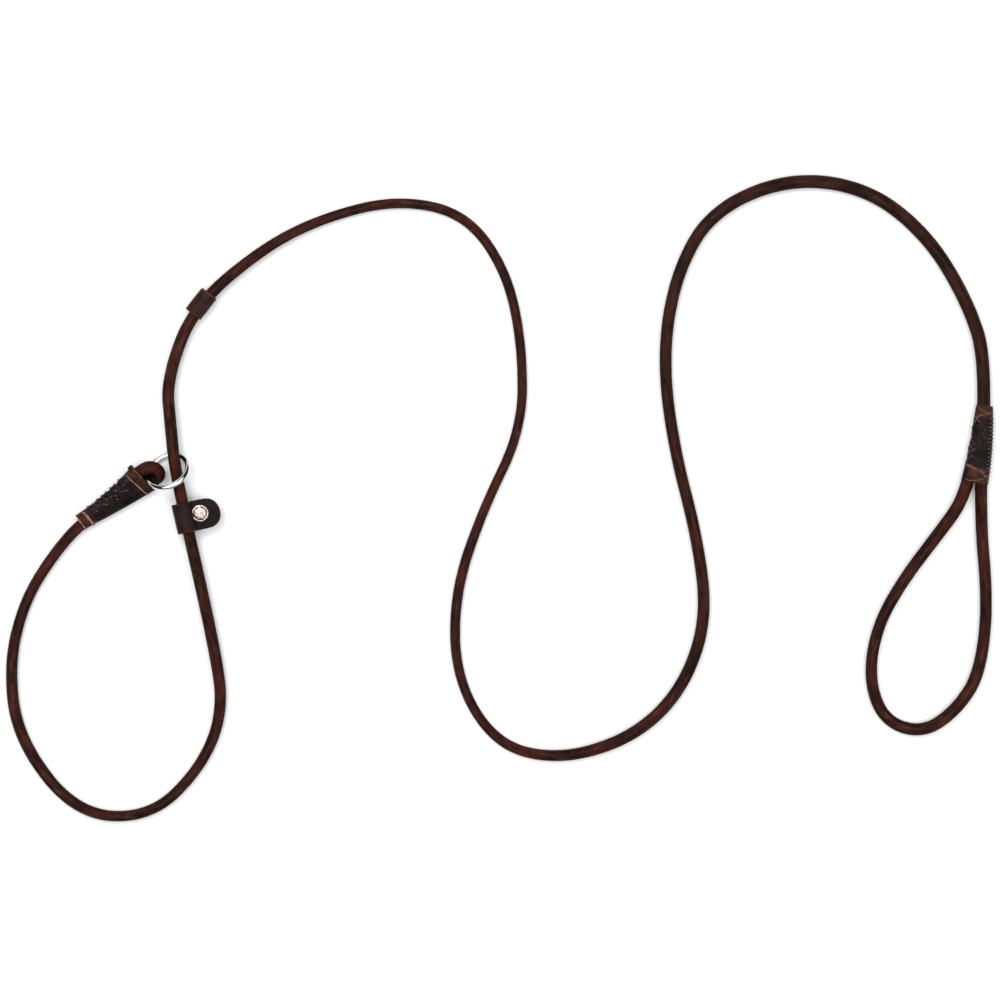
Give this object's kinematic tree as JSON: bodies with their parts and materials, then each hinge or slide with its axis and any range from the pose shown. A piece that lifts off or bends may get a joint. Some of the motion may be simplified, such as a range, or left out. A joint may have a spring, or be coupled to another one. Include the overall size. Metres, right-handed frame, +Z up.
{
  "type": "training leash",
  "caption": "Rolled leather slip lead with a hand loop, a metal ring that its noose runs through, a riveted leather keeper on the noose and a sliding leather stop sleeve.",
  "frame": {"origin": "on the table under the middle of the lead as it lies", "axes": "+X from the noose to the hand loop, +Y away from the noose's and the hand loop's ends, +Z up"},
  "size_m": [0.5376, 0.3521, 0.0188],
  "materials": {
    "cord": "rolled pull-up leather, dark red-brown, semi-gloss",
    "wrap_leather": "thin worn leather, nearly black brown, semi-gloss",
    "edge_thread": "waxed thread, dark brown",
    "pale_thread": "waxed thread, worn tan",
    "ring_chrome": "bright plating",
    "keeper_leather": "firm strap leather, purplish dark brown",
    "rivet_nickel": "warm bright nickel, polished",
    "sleeve_leather": "firm leather, dark brown with brown worn edges"
  },
  "bodies": {
    "lead": {"noose_cord": "cord", "lead_cord": "cord", "hand_loop_cord": "cord", "ring_eye": "cord", "neck_cord_tail": "cord", "hand_cord_tail": "cord", "neck_splice_wrap": "wrap_leather", "hand_splice_wrap": "wrap_leather", "neck_edge_stitching": "edge_thread", "hand_edge_stitching": "edge_thread", "neck_face_stitching": "pale_thread", "hand_face_lacing": "pale_thread", "neck_thread_narrow_end": "pale_thread", "neck_thread_wide_end": "pale_thread", "hand_thread_narrow_end": "pale_thread", "hand_thread_wide_end": "pale_thread"},
    "ring": {"o_ring": "ring_chrome"},
    "keeper": {"keeper_strap": "keeper_leather", "rivet_cap": "rivet_nickel", "rivet_post": "rivet_nickel"},
    "stop": {"stop_sleeve": "sleeve_leather"}
  },
  "joints": [
    {"name": "ring_spin", "type": "hinge", "parent": "lead", "child": "ring", "pos_m": [-0.17995, 0.01515, 0.00934], "axis": [-0.2774, 0.623, 0.7314], "continuous": true},
    {"name": "keeper_slide", "type": "slide", "parent": "lead", "child": "keeper", "axis": [0.2202, -0.9751, -0.0283], "range_m": [-0.0054, 0.043]},
    {"name": "stop_slide", "type": "hinge", "parent": "lead", "child": "stop", "pos_m": [-0.10454, 0.06142, 0.0051], "axis": [0, 0, 1], "range_deg": [-5, 11]}
  ]
}
